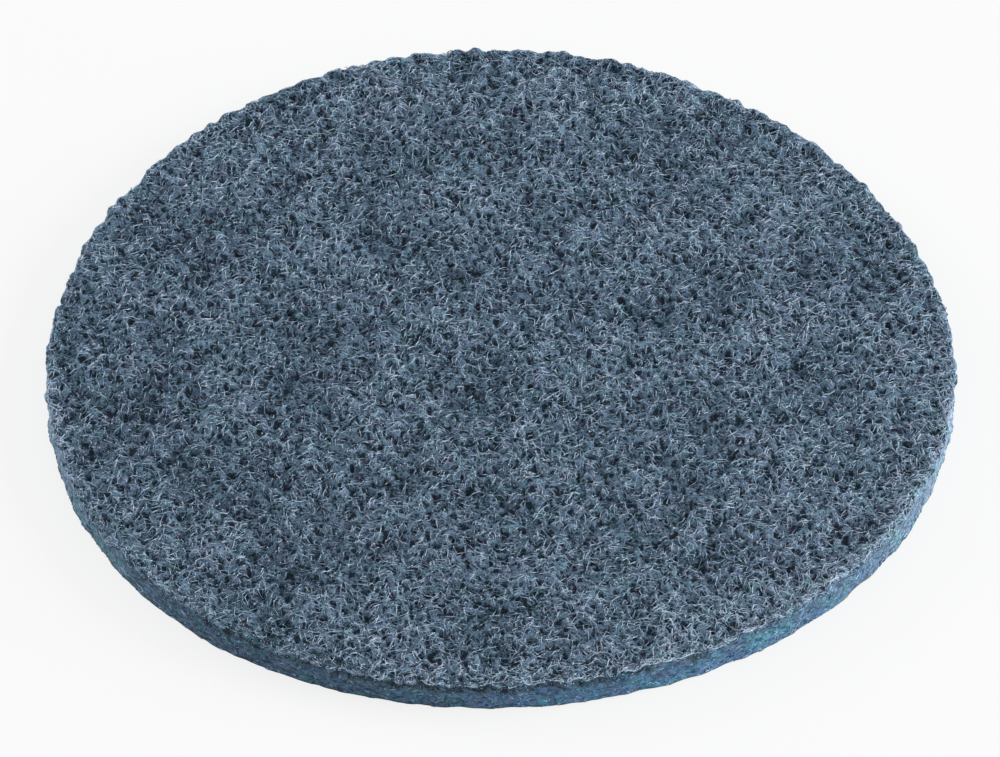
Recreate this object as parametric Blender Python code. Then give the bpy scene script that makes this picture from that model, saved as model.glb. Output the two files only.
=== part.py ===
"""Surface conditioning disc: one piece, stamped from a needled nylon web that carries resin and grain.

The disc lies flat on its underside, +Z up. The origin is the centre of the nominal circle on the
underside, the face that grips a hook-faced sanding pad. All lengths are in metres.

Run it with: blender --background --python part.py
"""
import math

import bmesh
import bpy
from mathutils import Vector

# Overall sizes of the stamped web
DISC_DIAMETER = 0.125
WEB_THICKNESS = 0.0049

# The soft web springs out of round when it is stamped, in a few shallow lobes
LOBE_COUNT = 3
LOBE_HEIGHT = 0.0006
LOBE_DIRECTION = math.radians(-18)

# The stamped edge stands in from the outline between tufts of fibre
EDGE_RIPPLE = 0.0004
EDGE_RIPPLE_PITCH = 0.005
RIM_ROUND = 0.0005
RIM_ROUND_STEPS = 2

# Hollows between the tufts of the working face
NAP_RELIEF = 0.0006
NAP_PITCH = 0.006

# Waves that are summed for a relief, each turned from the last by the golden angle
RELIEF_WAVES = 24
GOLDEN_ANGLE = math.pi * (3 - math.sqrt(5))

# Spacing of the faces over the working face, and the courses of faces down the edge
FACE_SPACING = 0.00235
EDGE_COURSES = 3

RING_COUNT = round(DISC_DIAMETER / 2 / FACE_SPACING)

# Colour in linear light: blue fibre dulled by grey grain
WEB_COLOUR = (0.080, 0.117, 0.161, 1.0)
WEB_ROUGHNESS = 0.85


def clear_scene():
    """Removes whatever the open file holds."""
    for thing in list(bpy.data.objects):
        bpy.data.objects.remove(thing, do_unlink=True)


def coated_nylon():
    """The matt, non-metallic Principled surface of the web."""
    material = bpy.data.materials.new("coated_nylon_web")
    material.use_nodes = True
    shader = material.node_tree.nodes["Principled BSDF"]
    shader.inputs["Base Color"].default_value = WEB_COLOUR
    shader.inputs["Roughness"].default_value = WEB_ROUGHNESS
    shader.inputs["Metallic"].default_value = 0.0
    material.diffuse_color = WEB_COLOUR
    return material


def cut_radius(angle):
    """Radius of the stamped outline: the nominal circle with its shallow lobes."""
    return DISC_DIAMETER / 2 + LOBE_HEIGHT * math.cos(LOBE_COUNT * (angle - LOBE_DIRECTION))


def relief(along, across, pitch):
    """Uneven ground between 0 and 1: plane waves from pitch to twice pitch long, summed and eased."""
    total = 0
    for wave in range(RELIEF_WAVES):
        turn = wave * GOLDEN_ANGLE
        length = pitch * (1 + wave / RELIEF_WAVES)
        distance = along * math.cos(turn) + across * math.sin(turn)
        total += math.cos(2 * math.pi * distance / length + wave * wave)
    return 0.5 + 0.5 * math.tanh(total / math.sqrt(RELIEF_WAVES))


def edge_ripple(angle, height):
    """How far the stamped edge stands in from the outline, from nothing to EDGE_RIPPLE."""
    x = DISC_DIAMETER / 2 * math.cos(angle)
    y = DISC_DIAMETER / 2 * math.sin(angle)
    return EDGE_RIPPLE * relief(x, y + height, EDGE_RIPPLE_PITCH)


def nap_hollow(x, y):
    """How far the working face lies under its crest, from nothing to NAP_RELIEF."""
    return NAP_RELIEF * relief(x, y, NAP_PITCH)


def ring_and_angle(u, v):
    """Sends a point of the square from -1 to 1 to a disc: square rings become round ones."""
    ring = max(abs(u), abs(v))
    if ring == 0:
        return 0.0, 0.0
    if abs(u) >= abs(v):
        return ring, math.pi / 4 * v / u + (math.pi if u < 0 else 0)
    return ring, math.pi / 2 - math.pi / 4 * u / v + (math.pi if v < 0 else 0)


def round_working_face(mesh):
    """Bends a square grid into the round, uneven working face."""
    for vertex in mesh.verts:
        ring, angle = ring_and_angle(vertex.co.x, vertex.co.y)
        radius = ring * cut_radius(angle)
        x = radius * math.cos(angle)
        y = radius * math.sin(angle)
        vertex.co = Vector((x, y, WEB_THICKNESS - nap_hollow(x, y)))


def draw_edge_down(mesh):
    """Extrudes the rim down to the underside in even courses and closes the underside.

    Returns the edges of the rim, between the working face and the stamped edge."""
    rim = [edge for edge in mesh.edges if edge.is_boundary]
    loop = rim
    for left in range(EDGE_COURSES, 0, -1):
        drawn = bmesh.ops.extrude_edge_only(mesh, edges=loop)["geom"]
        loop = [part for part in drawn if isinstance(part, bmesh.types.BMEdge)]
        for vertex in (part for part in drawn if isinstance(part, bmesh.types.BMVert)):
            vertex.co.z *= (left - 1) / left
    bmesh.ops.contextual_create(mesh, geom=loop)
    return rim


def ripple_edge(mesh):
    """Moves every point of the stamped edge in towards the centre by its ripple."""
    for vertex in mesh.verts:
        outward = Vector((vertex.co.x, vertex.co.y, 0))
        angle = math.atan2(outward.y, outward.x)
        if cut_radius(angle) - outward.length < FACE_SPACING / 4:
            vertex.co -= outward.normalized() * edge_ripple(angle, vertex.co.z)


def abrasive_web():
    """The web from its flat underside to its working face, with a soft upper rim."""
    bpy.ops.mesh.primitive_grid_add(x_subdivisions=2 * RING_COUNT, y_subdivisions=2 * RING_COUNT, size=2)
    web = bpy.context.object
    web.name = "abrasive_web"
    mesh = bmesh.new()
    mesh.from_mesh(web.data)
    round_working_face(mesh)
    rim = draw_edge_down(mesh)
    ripple_edge(mesh)
    bmesh.ops.bevel(mesh, geom=rim, offset=RIM_ROUND, segments=RIM_ROUND_STEPS, profile=0.5, affect="EDGES")
    # Where the corners of the square were, only the shorter diagonal splits a face without a sliver
    bmesh.ops.triangulate(mesh, faces=mesh.faces, quad_method="SHORT_EDGE")
    bmesh.ops.recalc_face_normals(mesh, faces=mesh.faces)
    mesh.to_mesh(web.data)
    mesh.free()
    web.data.shade_smooth()
    web.data.set_sharp_from_angle(angle=math.radians(50))
    web.data.materials.append(coated_nylon())
    return web


def main():
    """Builds the disc in a collection of its own."""
    clear_scene()
    collection = bpy.data.collections.new("surface_conditioning_disc")
    bpy.context.scene.collection.children.link(collection)
    web = abrasive_web()
    for holder in list(web.users_collection):
        holder.objects.unlink(web)
    collection.objects.link(web)


main()
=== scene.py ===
"""Looks of the surface conditioning disc.

A closed body of felt carries the disc's form: hollows and pores in the working face, lumps down the
cut edge. Curled fibres lie over it in bundles, thousands to a bundle, and abrasive grain sits on the
highest of them. All lengths are in metres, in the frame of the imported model.
"""
import logging
import math
from dataclasses import dataclass
from enum import Enum

import bpy
import numpy as np
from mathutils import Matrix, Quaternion, Vector


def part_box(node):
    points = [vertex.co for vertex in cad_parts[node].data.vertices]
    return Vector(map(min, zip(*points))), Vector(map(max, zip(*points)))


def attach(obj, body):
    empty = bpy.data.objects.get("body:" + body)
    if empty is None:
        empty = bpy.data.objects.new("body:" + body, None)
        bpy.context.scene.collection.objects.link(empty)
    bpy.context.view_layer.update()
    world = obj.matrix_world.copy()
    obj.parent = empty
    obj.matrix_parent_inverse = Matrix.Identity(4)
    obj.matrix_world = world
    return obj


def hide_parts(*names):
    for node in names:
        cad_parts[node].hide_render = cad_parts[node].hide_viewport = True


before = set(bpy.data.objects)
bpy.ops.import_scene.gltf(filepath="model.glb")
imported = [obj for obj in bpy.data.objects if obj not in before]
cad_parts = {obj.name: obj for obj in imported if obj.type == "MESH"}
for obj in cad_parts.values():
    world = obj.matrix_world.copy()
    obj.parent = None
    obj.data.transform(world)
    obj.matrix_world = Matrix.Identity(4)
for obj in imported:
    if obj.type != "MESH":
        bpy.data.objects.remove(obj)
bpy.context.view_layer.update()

LOG = logging.getLogger("disc")
BODY_NAME = "root"
NODE_NAME = "abrasive_web"
BAKE_MAP = "OFBake"
MM = 0.001
FULL_TURN = 2 * np.pi
GOLDEN_ANGLE = math.pi * (3 - math.sqrt(5))
RELIEF_WAVES = 24
Array = np.ndarray
Chance = np.random.Generator
Thing = bpy.types.Object
Material = bpy.types.Material
Tree = bpy.types.NodeTree
Node = bpy.types.Node
Socket = bpy.types.NodeSocket
Pair = tuple[float, float]
# Places from 0 to 1 on a colour ramp, each with its sRGB hex colour
Stops = tuple[tuple[float, str], ...]


def linear(colour: str) -> tuple[float, float, float, float]:
    """Turns an sRGB hex colour to linear light.

    Args:
        colour: the colour as "#RRGGBB".

    Returns:
        Red, green, blue and an alpha of 1.
    """
    shares = (int(colour[place:place + 2], 16) / 255 for place in (1, 3, 5))
    red, green, blue = (s / 12.92 if s <= 0.04045 else ((s + 0.055) / 1.055) ** 2.4 for s in shares)
    return red, green, blue, 1.0


def relief(x: Array, y: Array, pitch: float) -> Array:
    """Uneven ground: plane waves from pitch to twice pitch long, each turned by the golden angle.

    The sum of the cosines, over the root of their number, goes through a hyperbolic tangent and is
    then moved from -1 to 1 to 0 to 1.

    Args:
        x, y: coordinates.
        pitch: length of the shortest wave.

    Returns:
        Heights from 0 to 1, in the shape of the coordinates.
    """
    wave = np.arange(RELIEF_WAVES)
    turn = wave * GOLDEN_ANGLE
    length = pitch * (1 + wave / RELIEF_WAVES)
    distance = x[..., None] * np.cos(turn) + y[..., None] * np.sin(turn)
    total = np.cos(FULL_TURN * distance / length + wave * wave).sum(axis=-1)
    return 0.5 + 0.5 * np.tanh(total / math.sqrt(RELIEF_WAVES))


def bell(angle: Array, direction: float, sharpness: float) -> Array:
    """A bump round the disc: the exponential of a cosine, 1 in the direction given in degrees."""
    return np.exp(sharpness * (np.cos(angle - math.radians(direction)) - 1))


def polar(reach: Array | float, angle: Array, height: Array | float) -> Array:
    """Points by their distance from the axis, direction and height, as rows of three."""
    return np.stack(np.broadcast_arrays(reach * np.cos(angle), reach * np.sin(angle), height), axis=-1)


def tips(share: Array) -> Array:
    """0 along most of a fibre and 1 at its two ends: the fourth power of the way from its middle."""
    return (2 * share) ** 4


@dataclass(frozen=True)
class DiscShape:
    """The outline and the ground of the disc, by the same rules as its solid.

    The tufts are finer than the solid shows: short lumps that the die leaves along the cut edge. Each
    swell is a direction in degrees and a sharpness, for bell().
    """

    crest: float
    diameter: float = 125 * MM
    lobe_count: int = 3
    lobe_height: float = 0.6 * MM
    lobe_direction: float = math.radians(-18)
    ripple: float = 0.4 * MM
    ripple_pitch: float = 5 * MM
    tuft: float = 0.36 * MM
    tuft_pitch: float = 1.8 * MM
    tuft_at_foot: float = 0.4
    nap_relief: float = 0.6 * MM
    nap_pitch: float = 6 * MM
    lump: float = 0.7 * MM
    lump_pitch: float = 2.2 * MM
    thin_pitches: tuple[float, ...] = (1.5 * MM, 6 * MM, 15 * MM)
    thin_shares: tuple[float, ...] = (0.36, 0.22, 0.5)
    # Painted shade: the side about this direction is drawn darker, fading with distance
    shaded_side_direction: float = math.radians(190)
    shaded_side_share: float = 0.3
    shaded_side_middle: float = 0.2
    shaded_side_reach: float = 45 * MM
    rim_round: float = 0.6 * MM
    packed_rim: float = 3 * MM
    packed_share: float = 0.1
    open_height: float = 1.5 * MM
    open_depth: float = 0.45 * MM
    open_pitch: float = 2 * MM
    open_least: float = 0.1
    open_ends: Pair = (0.12, 0.99)
    patch_slope: float = 4
    patch_offset: float = 1.3
    open_swell: Pair = (258, 6)
    # Bells of pale bare fibre and painted sheen on the cut edge; the two sharpest are painted sheen only,
    # where the edge is seen edge-on
    bare_and_sheen_swells: tuple[Pair, ...] = ((340, 12), (193, 12), (348, 50), (184, 50))
    fresh_swell: Pair = (290, 9)
    fresh_at_foot: float = 1.1
    paling_swell: Pair = (305, 2)
    paling_reach: float = 4.5 * MM

    def nominal(self, angle: Array) -> tuple[Array, Array]:
        """Coordinates on the nominal circle."""
        return self.diameter / 2 * np.cos(angle), self.diameter / 2 * np.sin(angle)

    def edge(self, angle: Array, height: Array) -> Array:
        """Radius of the cut edge: the lobed circle less its ripple and its tufts, which grow upwards.

        Args:
            angle: direction from the disc's centre, in radians.
            height: height over the underside.

        Returns:
            Radii, in the shape of the arguments.
        """
        x, y = self.nominal(angle)
        y = y + height
        lobes = self.lobe_height * np.cos(self.lobe_count * (angle - self.lobe_direction))
        tuft = self.tuft * (self.tuft_at_foot + height / self.crest) * (relief(x, y, self.tuft_pitch) - 0.5)
        return self.diameter / 2 + lobes - self.ripple * relief(x, y, self.ripple_pitch) - tuft

    def nap(self, x: Array, y: Array) -> Array:
        """Height of the working face without its shoulder: the crest less wide hollows, and lumps."""
        return (self.crest - self.nap_relief * relief(x, y, self.nap_pitch)
                + self.lump * (0.5 - relief(x, y, self.lump_pitch)))

    def thinness_and_shade(self, x: Array, y: Array) -> Array:
        """How thin the web lies: shares of three uneven grounds, each about its middle.

        On one side the shares are raised, as painted shade: there the fibres and felt are drawn darker
        and the fibres lie a little deeper. The rise falls as the exponential of the distance from a point
        of the rim.

        Args:
            x, y: coordinates.

        Returns:
            Shares, mostly from 0 for dense to 1 for thin and shaded.
        """
        shaded_side_x, shaded_side_y = self.nominal(self.shaded_side_direction)
        near = np.exp(-np.hypot(x - shaded_side_x, y - shaded_side_y) / self.shaded_side_reach)
        return 0.5 + self.shaded_side_share * (near - self.shaded_side_middle) + sum(
            share * (relief(x, y, pitch) - 0.5) for share, pitch in zip(self.thin_shares, self.thin_pitches))

    def shoulder(self, inwards: Array) -> Array:
        """How far the round shoulder drops at a distance inwards of the cut edge: a quarter circle."""
        into_round = np.clip(self.rim_round - inwards, 0, self.rim_round)
        return self.rim_round - np.sqrt(self.rim_round ** 2 - into_round ** 2)

    def looseness(self, inwards: Array) -> Array:
        """How loose the web is: the die packs it at the rim, and a cubic ease opens it to 1 inwards."""
        share = np.clip(inwards / self.packed_rim, 0, 1)
        return self.packed_share + (1 - self.packed_share) * share ** 2 * (3 - 2 * share)

    def ground(self, x: Array, y: Array) -> tuple[Array, Array]:
        """The working face: the crest less its hollows, with a round shoulder at the edge.

        Args:
            x, y: coordinates.

        Returns:
            Heights over the underside, and distances inwards of the cut edge.
        """
        inwards = self.edge(np.arctan2(y, x), np.full_like(x, self.crest)) - np.hypot(x, y)
        return self.nap(x, y) - self.shoulder(inwards), inwards

    def swell(self, angle: Array) -> Array:
        """How far the cut edge opens in each direction: a bell on a low base."""
        return self.open_least + (1 - self.open_least) * bell(angle, *self.open_swell)

    def opened(self, angle: Array, height: Array) -> Array:
        """How open the cut edge is: a band under the rim, deepest about one direction.

        The band is the root of half a sine wave downwards. The swell carries it round the disc, and an
        uneven ground breaks it up.

        Args:
            angle: direction from the centre.
            height: height over the underside.

        Returns:
            Shares from 0 to 1.
        """
        down = np.clip((self.crest - self.rim_round - height) / self.open_height, 0, 1)
        x, y = self.nominal(angle)
        uneven = relief(x, y + 2 * height, self.open_pitch)
        patches = np.clip(self.patch_slope * uneven - self.patch_offset, 0, 1)
        return np.sqrt(np.sin(np.pi * np.clip(down, *self.open_ends))) * self.swell(angle) * patches

    def bareness_and_sheen(self, angle: Array) -> Array:
        """How much pale bare fibre and painted sheen the cut edge shows: a sum of bells."""
        return sum(bell(angle, *swell) for swell in self.bare_and_sheen_swells)

    def freshness(self, angle: Array, height: Array) -> Array:
        """How fresh and blue the felt is: a bell that falls from the foot to the crest."""
        return bell(angle, *self.fresh_swell) * np.clip(self.fresh_at_foot - height / self.crest, 0, 1)

    def rim_paling(self, angle: Array, inwards: Array) -> Array:
        """How much paler the working face is drawn near the edge: a bell round the rim, fading inwards
        exponentially.
        """
        return bell(angle, *self.paling_swell) * np.exp(-np.maximum(inwards, 0) / self.paling_reach)

    def over_rim(self, angle: Array, down: Array, lift: Array | float) -> tuple[Array, Array]:
        """Carries points over the round shoulder from the working face to the cut edge.

        Down is measured along the section: below 0 it runs inwards over the face, up to a quarter
        circle it runs round the shoulder, and past that straight down the edge.

        Args:
            angle: direction from the centre.
            down: distance along the section from the start of the shoulder.
            lift: distance that a point stands off the surface.

        Returns:
            Points, and the directions straight out of the surface there.
        """
        quarter = self.rim_round * math.pi / 2
        tip = np.clip(down, 0, quarter) / self.rim_round
        past = np.maximum(down - quarter, 0)
        inwards = np.minimum(down, 0)
        rim = self.edge(angle, np.full_like(angle, self.crest))
        beyond = rim - self.rim_round * (1 - np.sin(tip)) + inwards
        top = self.nap(beyond * np.cos(angle), beyond * np.sin(angle))
        height = top - self.rim_round + (self.rim_round + lift) * np.cos(tip) - past
        reach = self.edge(angle, height) - self.rim_round + (self.rim_round + lift) * np.sin(tip) + inwards
        return polar(reach, angle, height), polar(np.sin(tip), angle, np.cos(tip))

    def kept_inside(self, x: Array, y: Array, height: Array, margin: float) -> tuple[Array, Array]:
        """Draws points that lie past the cut edge straight in to it, less a margin.

        Args:
            x, y: coordinates.
            height: heights over the underside.
            margin: distance kept to the edge.

        Returns:
            The new coordinates.
        """
        reach = np.maximum(np.hypot(x, y), 1e-9)
        share = np.minimum(1, (self.edge(np.arctan2(y, x), height) - margin) / reach)
        return x * share, y * share


def add_node(tree: Tree, kind: str, settings: dict | None = None,
             inputs: dict | None = None) -> Node:
    """Adds one node with its settings and links.

    Args:
        tree: that the node goes into.
        kind: the node's type name, without ShaderNode.
        settings: properties of the node.
        inputs: a value or an output socket for each input, by name or number.

    Returns:
        The node.
    """
    node = tree.nodes.new("ShaderNode" + kind)
    for name, value in (settings or {}).items():
        setattr(node, name, value)
    for name, value in (inputs or {}).items():
        if isinstance(value, Socket):
            tree.links.new(value, node.inputs[name])
        else:
            node.inputs[name].default_value = value
    return node


# Settings that several nodes share
SCALED_SUM = {"operation": "MULTIPLY_ADD"}
PRODUCT = {"operation": "MULTIPLY"}
COLOURS = {"data_type": "RGBA"}
EASED = {"interpolation_type": "SMOOTHSTEP"}

# Inputs of a Map Range node, in the order that its values are given
RANGE = ("Value", "From Min", "From Max", "To Min", "To Max")


@dataclass(frozen=True)
class PoreField:
    """Open pores between the fibres: wherever a sum of plane waves runs low.

    The lengths of the waves rise by an even ratio, each wave is turned from the last by the golden
    angle, and its height goes with the root of its length. The sum has a spread of 1. A few long
    swells are added, which crowd the pores in some patches and spread them in others.
    """

    lengths: Pair = (0.75 * MM, 2.4 * MM)
    waves: int = 13
    swells: tuple[float, ...] = (5.3 * MM, 7.1 * MM, 9.7 * MM)
    swell_height: float = 0.22
    brim: float = -0.5
    depth: float = 1.0
    softness: float = 0.3
    step: float = 0.2 * MM
    noise_size: float = 0.4 * MM

    def plan(self) -> tuple[Array, Array, Array]:
        """Works out the waves by the rule above.

        Returns:
            Wave vectors as rows of two, phases, and heights.
        """
        number = np.arange(self.waves)
        length = self.lengths[0] * (self.lengths[1] / self.lengths[0]) ** (number / (self.waves - 1))
        swells = np.full(len(self.swells), self.swell_height)
        height = np.concatenate([np.sqrt(2 * length / length.sum()), swells])
        length = np.concatenate([length, self.swells])
        number = np.arange(len(length))
        turn = number * GOLDEN_ANGLE
        vectors = np.stack([np.cos(turn), np.sin(turn)], axis=-1) * FULL_TURN / length[:, None]
        return vectors, number * number % FULL_TURN, height

    def level(self, x: Array, y: Array) -> tuple[Array, Array, Array]:
        """The sum of the waves.

        Args:
            x, y: coordinates.

        Returns:
            The sum, and its slopes along x and along y.
        """
        vectors, phases, heights = self.plan()
        angle = x[..., None] * vectors[:, 0] + y[..., None] * vectors[:, 1] + phases
        slopes = (-np.sin(angle) * heights) @ vectors
        return np.cos(angle) @ heights, slopes[..., 0], slopes[..., 1]

    def bowl(self, x: Array, y: Array) -> Array:
        """Depth of the pores as a share: 0 outside them and at their brim, 1 in the deepest."""
        return np.clip((self.brim - self.level(x, y)[0]) / self.depth, 0, 1)

    def parted(self, x: Array, y: Array, push: float) -> tuple[Array, Array]:
        """Moves points that lie in a pore up its slope to the brim, so that a fibre runs round it.

        Three short steps are taken, each as long as the height left over the slope, or the longest
        step if that is less.

        Args:
            x, y: coordinates.
            push: share of each step that is taken.

        Returns:
            The new coordinates.
        """
        for _ in range(3):
            level, slope_x, slope_y = self.level(x, y)
            slope = np.hypot(slope_x, slope_y) + 1e-9
            step = push * np.clip((self.brim - level) / slope, 0, self.step) / slope
            x, y = x + step * slope_x, y + step * slope_y
        return x, y

    def shade(self, tree: Tree, place: Socket) -> Socket:
        """The same sum of waves, made of nodes and roughened a little by a noise: the mask that darkens the
        pores, partly as painted shade.

        Args:
            tree: of the material.
            place: coordinates of the point.

        Returns:
            0 outside the pores and 1 inside them, with a soft brim.
        """
        noise = add_node(tree, "TexNoise", {}, {"Vector": place, "Scale": 1 / self.noise_size, "Detail": 1.0})
        total = add_node(tree, "Math", SCALED_SUM, {0: noise.outputs["Fac"], 1: 1.0, 2: -0.5}).outputs[0]
        for vector, phase, height in zip(*self.plan()):
            along = add_node(tree, "VectorMath", {"operation": "DOT_PRODUCT"}, {
                0: place, 1: (float(vector[0]), float(vector[1]), 0.0)})
            angle = add_node(tree, "Math", {"operation": "ADD"}, {0: along.outputs["Value"], 1: float(phase)})
            wave = add_node(tree, "Math", {"operation": "COSINE"}, {0: angle.outputs[0]})
            total = add_node(tree, "Math", SCALED_SUM, {
                0: wave.outputs[0], 1: float(height), 2: total}).outputs[0]
        edges = (self.brim - self.softness, self.brim + self.softness)
        return add_node(tree, "MapRange", EASED, dict(zip(
            RANGE, (total, *edges, 1.0, 0.0)))).outputs["Result"]


def put_mesh(name: str, points: Array, faces: list[Array], spots: Array,
             values: dict[str, Array]) -> Thing:
    """Makes an object of arrays and links it to the scene.

    Args:
        name: of the object and its mesh.
        points: one row of three for each vertex.
        faces: arrays of triangles or quads, one row of vertex numbers for each face.
        spots: places on the bake map, a row of two for each corner of each face in turn.
        values: named numbers, one for each vertex, for the materials to read.

    Returns:
        The object, shaded smooth.
    """
    mesh = bpy.data.meshes.new(name)
    corners = np.concatenate([part.ravel() for part in faces])
    sizes = np.concatenate([np.full(len(part), part.shape[1]) for part in faces])
    mesh.vertices.add(len(points))
    mesh.vertices.foreach_set("co", points.astype(np.float32).ravel())
    mesh.loops.add(len(corners))
    mesh.loops.foreach_set("vertex_index", corners.astype(np.int32))
    mesh.polygons.add(len(sizes))
    mesh.polygons.foreach_set("loop_start", (np.cumsum(sizes) - sizes).astype(np.int32))
    mesh.update(calc_edges=True)
    mesh.uv_layers.new(name=BAKE_MAP).uv.foreach_set("vector", spots.astype(np.float32).ravel())
    for value_name, value in values.items():
        mesh.attributes.new(value_name, "FLOAT", "POINT").data.foreach_set("value", value.astype(np.float32))
    mesh.validate()
    mesh.shade_smooth()
    thing = bpy.data.objects.new(name, mesh)
    bpy.context.scene.collection.objects.link(thing)
    return thing


# Width left free round each shape in its cell of the bake map
CELL_MARGIN = 0.1


def cell_corners(count: int) -> tuple[Array, int]:
    """Lower corner of a cell of the bake map for each of many small shapes, and the cells in a row."""
    cells = math.ceil(math.sqrt(count))
    number = np.arange(count)
    return np.stack([number % cells, number // cells], axis=-1)[:, None, None], cells


@dataclass(frozen=True)
class Strand:
    """The form that all fibres of a bundle share: a three-sided tube that ends in two points."""

    rings: int = 4

    @property
    def points(self) -> int:
        """Points along the middle of a fibre, its two tips with them."""
        return self.rings + 2

    def skin(self, paths: Array, widths: Array, out: Array) -> Array:
        """Vertices round the paths: the tips, and three corners at each point between them.

        A corner lies half a width from the path, at 90, 210 or 330 degrees about it, where 90 is
        straight out of the web, square to the path.

        Args:
            paths: fibres by points by three.
            widths: one for each fibre.
            out: fibres by points by three, or anything that spreads to that.

        Returns:
            Fibres by 3 * rings + 2 by three.
        """
        along = np.gradient(paths, axis=1)[:, 1:-1]
        along /= np.linalg.norm(along, axis=-1, keepdims=True)
        side = np.cross(along, np.broadcast_to(out, paths.shape)[:, 1:-1])
        side /= np.linalg.norm(side, axis=-1, keepdims=True)
        rise = np.cross(side, along)
        turn = np.radians([90.0, 210.0, 330.0])
        round_it = side[:, :, None] * np.cos(turn)[:, None] + rise[:, :, None] * np.sin(turn)[:, None]
        corners = paths[:, 1:-1, None] + round_it * widths[:, None, None, None] / 2
        return np.concatenate([paths[:, :1], corners.reshape(len(paths), -1, 3), paths[:, -1:]], axis=1)

    def round_each(self, values: Array) -> Array:
        """Carries values, fibres by points, out to the vertices of skin(), as one row."""
        middle = np.repeat(values[:, 1:-1], 3, axis=1)
        return np.concatenate([values[:, :1], middle, values[:, -1:]], axis=1).ravel()

    def faces(self, fibres: int) -> list[Array]:
        """Triangles at both tips and quads between the rings, for all fibres.

        Args:
            fibres: how many there are.

        Returns:
            An array of triangles and one of quads.
        """
        corner = np.arange(3)
        after = (corner + 1) % 3
        last = 3 * self.rings + 1
        last_ring = last - 3
        ends = np.concatenate([np.stack([np.zeros(3, int), 1 + after, 1 + corner], axis=1),
                               np.stack([np.full(3, last), last_ring + corner, last_ring + after], axis=1)])
        ring = 1 + 3 * np.arange(self.rings - 1)[:, None]
        quads = np.stack([ring + corner, ring + after, ring + 3 + after, ring + 3 + corner], axis=-1)
        start = np.arange(fibres)[:, None, None] * (last + 1)
        return [(start + ends).reshape(-1, 3), (start + quads.reshape(-1, 4)).reshape(-1, 4)]

    def spots(self, fibres: int) -> Array:
        """Places on the bake map: each fibre is unrolled in a small cell of its own.

        Args:
            fibres: how many there are.

        Returns:
            A row of two for each corner, in the order of faces().
        """
        far = self.rings + 1
        corner = np.arange(3.0)
        one = np.ones(3)
        near_end = [[0 * one, one, one], [corner + 0.5, corner + 1, corner]]
        far_end = [[far * one, self.rings * one, self.rings * one], [corner + 0.5, corner, corner + 1]]
        ring = np.repeat(np.arange(1.0, self.rings), 3)
        side = np.tile(corner, self.rings - 1)
        quads = np.array([[ring, ring, ring + 1, ring + 1], [side, side + 1, side + 1, side]])
        start, cells = cell_corners(fibres)
        room = 1 - 2 * CELL_MARGIN
        return np.concatenate([
            ((start + CELL_MARGIN + part.transpose(2, 1, 0) * [room / far, room / 3]) / cells).reshape(-1, 2)
            for part in (np.concatenate([near_end, far_end], axis=-1), quads)])


@dataclass(frozen=True)
class Curl:
    """How the fibres of a bundle run over the ground, before pores and the edge move them."""

    lengths: Pair
    bend: float
    sway: float = 0.5

    def paths(self, rng: Chance, starts: Array, headings: Array,
              points: int) -> tuple[Array, Array]:
        """Flat curves whose heading turns evenly and sways.

        The heading is its first value, plus bend times length times the share from -1/2 to 1/2, plus
        a sine of one wave. The steps between points follow it and are summed.

        Args:
            rng: source of the chance.
            starts: middle of each fibre, fibres by two.
            headings: in radians, one for each fibre.
            points: along each path.

        Returns:
            Paths, fibres by points by two, and shares of the length from -1/2 to 1/2.
        """
        fibres = len(starts)
        share = np.linspace(-0.5, 0.5, points)
        middle = (share[1:] + share[:-1]) / 2
        lengths = rng.uniform(*self.lengths, fibres)[:, None]
        bend = rng.normal(0, self.bend, fibres)[:, None]
        phase = rng.uniform(0, FULL_TURN, fibres)[:, None]
        turned = headings[:, None] + bend * lengths * middle + self.sway * np.sin(FULL_TURN * middle + phase)
        steps = np.stack([np.cos(turned), np.sin(turned)], axis=-1) * (lengths / (points - 1))[..., None]
        path = np.concatenate([np.zeros((fibres, 1, 2)), np.cumsum(steps, axis=1)], axis=1)
        path += starts[:, None] - path.mean(axis=1, keepdims=True)
        return path, share


def set_stops(ramp: Node, stops: Stops) -> None:
    """Gives a colour ramp its stops.

    Args:
        ramp: the node.
        stops: at least two, in rising order.
    """
    elements = ramp.color_ramp.elements
    while len(elements) < len(stops):
        elements.new(0.5)
    for element, (place, colour) in zip(elements, stops):
        element.position = place
        element.color = linear(colour)


def new_material(name: str, roughness: float) -> tuple[Material, Tree, Node]:
    """Makes a material whose surface is given by nodes.

    Args:
        name: of the material.
        roughness: of its surface.

    Returns:
        The material, its node tree and its Principled node.
    """
    material = bpy.data.materials.new(name)
    material.use_nodes = True
    shader = material.node_tree.nodes["Principled BSDF"]
    shader.inputs["Roughness"].default_value = roughness
    return material, material.node_tree, shader


class Dye(Enum):
    """The hues that the web drifts between, from patch to patch."""

    BLUE = "#3A5C80"
    TEAL = "#2F6B78"
    VIOLET = "#54557C"
    DEEP_BLUE = "#2A5CA0"
    SEA_GREEN = "#3F8480"


# The dye at each level of the drifting noise, on coated fibre and on the felt of the cut edge
COAT_DYES = ((0.36, Dye.TEAL), (0.5, Dye.BLUE), (0.64, Dye.VIOLET))
FELT_DYES = ((0.3, Dye.SEA_GREEN), (0.4, Dye.TEAL), (0.47, Dye.BLUE), (0.56, Dye.VIOLET),
             (0.66, Dye.DEEP_BLUE))


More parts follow.
